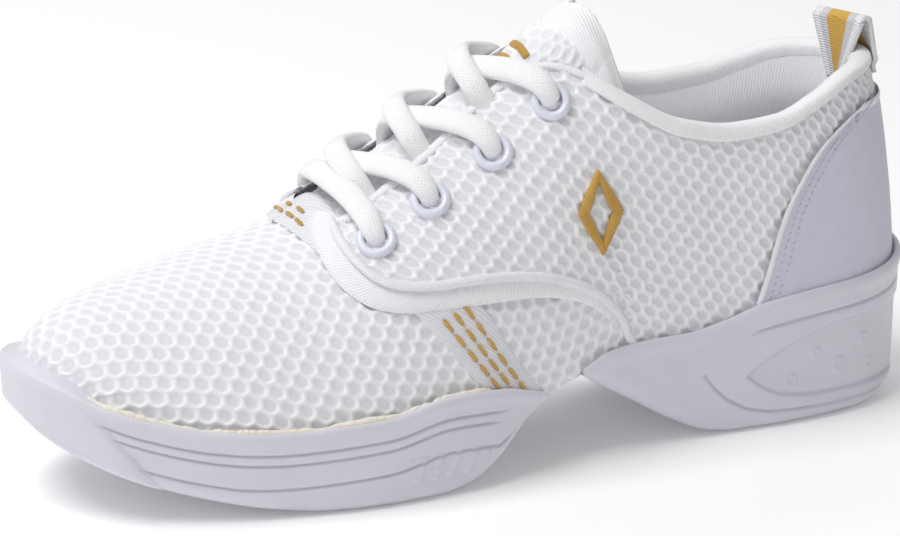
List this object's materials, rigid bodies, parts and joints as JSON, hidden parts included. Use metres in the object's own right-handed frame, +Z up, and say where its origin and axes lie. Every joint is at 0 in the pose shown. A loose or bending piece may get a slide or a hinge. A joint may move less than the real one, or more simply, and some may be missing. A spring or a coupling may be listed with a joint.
{
  "type": "split-sole cheer shoe",
  "caption": "White lace-up split-sole cheer and dance sneaker in honeycomb mesh, left foot, with padded collar, heel pull loop and open arch.",
  "frame": {"origin": "middle of the shoe's length and width, on the floor plane under the soles", "axes": "toe points to -X and heel to +X, the lateral (outer) side faces -Y and the medial side +Y, +Z is up"},
  "size_m": [0.262, 0.0921, 0.1169],
  "materials": {
    "sole_white": "moulded white sole compound, satin",
    "mesh_white": "white honeycomb air mesh",
    "tape_white": "white ribbed edge tape and strap",
    "collar_elastic": "white ribbed elastic",
    "lining_grey": "pale grey knitted lining",
    "counter_lilac": "pale lilac grey twill",
    "eyelet_plastic": "moulded white plastic",
    "lace_white": "white flat oval woven lace",
    "thread_gold": "gold embroidery thread",
    "webbing": "white ribbed webbing with one gold stripe",
    "foam": "open cell padding",
    "board": "fibre insole board",
    "stiffener": "thermoplastic stiffener sheet",
    "aglet_clear": "lace tip film"
  },
  "bodies": {
    "rearfoot": {"heel_outsole": "sole_white", "heel_insole_board": "board", "heel_sockliner": "lining_grey", "vamp_wings": "mesh_white", "quarter_lateral_rear": "mesh_white", "quarter_medial_rear": "mesh_white", "heel_counter_panel": "counter_lilac", "heel_counter_stiffener": "stiffener", "rear_lining": "lining_grey", "collar_foam": "foam", "collar_binding": "collar_elastic", "side_emblem": "thread_gold", "pull_tab_ends": "webbing"},
    "forefoot": {"forefoot_outsole": "sole_white", "forefoot_insole_board": "board", "forefoot_sockliner": "lining_grey", "vamp": "mesh_white", "vamp_lining": "lining_grey", "toe_puff": "stiffener", "instep_strap": "tape_white", "quarter_lateral_front": "mesh_white", "quarter_medial_front": "mesh_white", "edge_tape_lateral": "tape_white", "edge_tape_medial": "tape_white", "eyelets_lateral": "eyelet_plastic", "eyelets_medial": "eyelet_plastic", "tongue": "mesh_white", "tongue_foam": "foam", "tongue_lining": "lining_grey", "tongue_binding": "collar_elastic", "tongue_emblem": "thread_gold", "shoelace": "lace_white", "aglets": "aglet_clear"},
    "pull_tab": {"pull_tab": "webbing"}
  },
  "joints": [
    {"name": "arch_flex", "type": "hinge", "parent": "rearfoot", "child": "forefoot", "pos_m": [0.011, 0, 0.04], "axis": [0, -1, 0], "range_deg": [0, 30], "stiffness_Nm_per_rad": 0.6},
    {"name": "pull_tab_swing", "type": "hinge", "parent": "rearfoot", "child": "pull_tab", "pos_m": [0.1155, 0.0015, 0.1014], "axis": [-0.342, 0.9397, 0], "range_deg": [-60, 80], "stiffness_Nm_per_rad": 0.01}
  ]
}
